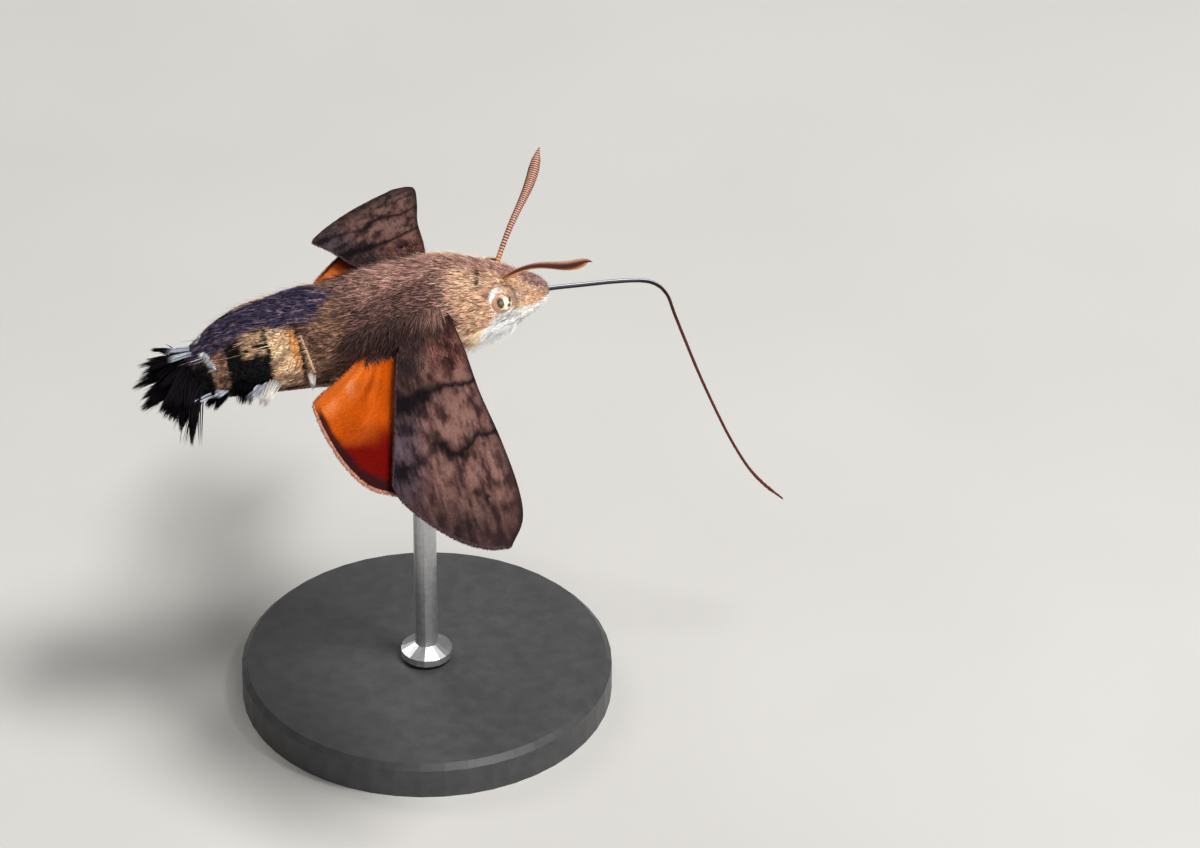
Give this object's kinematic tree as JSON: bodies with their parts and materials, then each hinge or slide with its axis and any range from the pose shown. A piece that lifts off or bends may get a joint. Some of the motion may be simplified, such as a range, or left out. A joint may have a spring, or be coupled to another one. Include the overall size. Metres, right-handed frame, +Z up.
{
  "type": "hummingbird hawk moth",
  "caption": "Life-size still model of a hummingbird hawk moth, hovering with its proboscis out, on a plain round display stand.",
  "frame": {"origin": "centre of the underside of the stand's base, on the floor", "axes": "+X where the moth faces, +Y its left, +Z up"},
  "size_m": [0.0459, 0.0431, 0.0389],
  "materials": {
    "fur": "matte",
    "dark_fur": "matte",
    "pale_fur": "matte",
    "eye": "gloss",
    "antenna": "satin",
    "proboscis": "gloss",
    "forewing": "matte",
    "hindwing": "matte",
    "leg": "matte",
    "stand_base": "satin",
    "stand_rod": "satin"
  },
  "bodies": {
    "root": {"head": "fur", "thorax": "fur", "abdomen": "dark_fur", "tail_fan": "dark_fur", "eye_left": "eye", "eye_right": "eye", "palp_left": "pale_fur", "palp_right": "pale_fur", "antenna_left": "antenna", "antenna_right": "antenna", "proboscis_base": "proboscis", "proboscis_middle": "proboscis", "proboscis_tip": "proboscis", "forewing_left": "forewing", "forewing_right": "forewing", "hindwing_left": "hindwing", "hindwing_right": "hindwing", "leg_front_left": "leg", "leg_front_right": "leg", "leg_middle_left": "leg", "leg_middle_right": "leg", "leg_hind_left": "leg", "leg_hind_right": "leg", "stand_base": "stand_base", "stand_rod": "stand_rod"}
  },
  "joints": []
}
